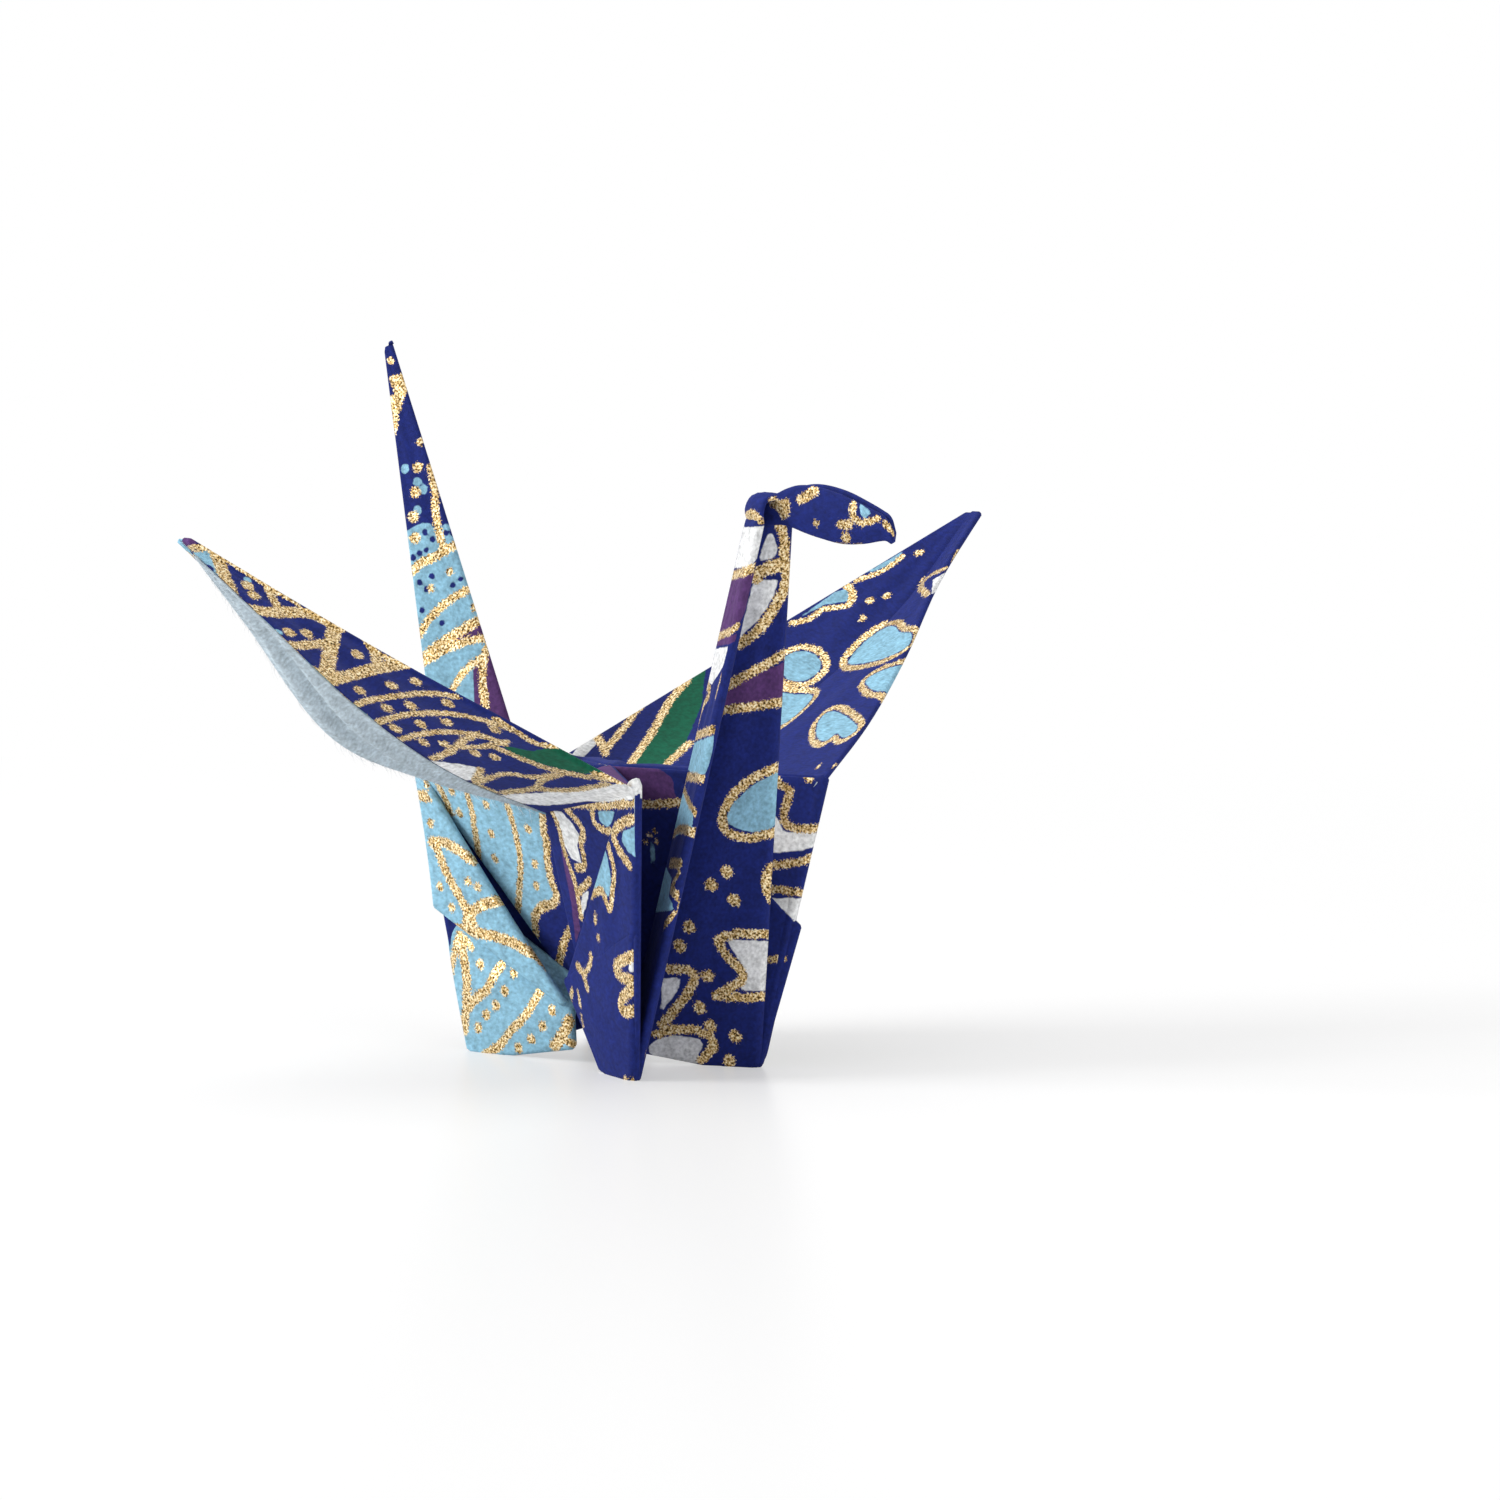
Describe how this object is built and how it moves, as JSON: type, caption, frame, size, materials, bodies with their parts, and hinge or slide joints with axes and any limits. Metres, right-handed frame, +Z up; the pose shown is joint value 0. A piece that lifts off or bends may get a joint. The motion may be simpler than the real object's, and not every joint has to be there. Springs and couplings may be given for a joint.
{
  "type": "origami crane",
  "caption": "Folded paper crane with raised wings, an open V-shaped neck and tail and a small bent head, standing on its body's bottom corners as an ornament",
  "frame": {"origin": "middle of the crane's bounding box, on the surface that it stands on", "axes": "+X towards the crane's left wing, +Y towards the tail, +Z up; the head looks along -Y"},
  "size_m": [0.0506, 0.0392, 0.0357],
  "materials": {
    "washi": "matte"
  },
  "bodies": {
    "root": {"paper_crane": "washi"}
  },
  "joints": []
}
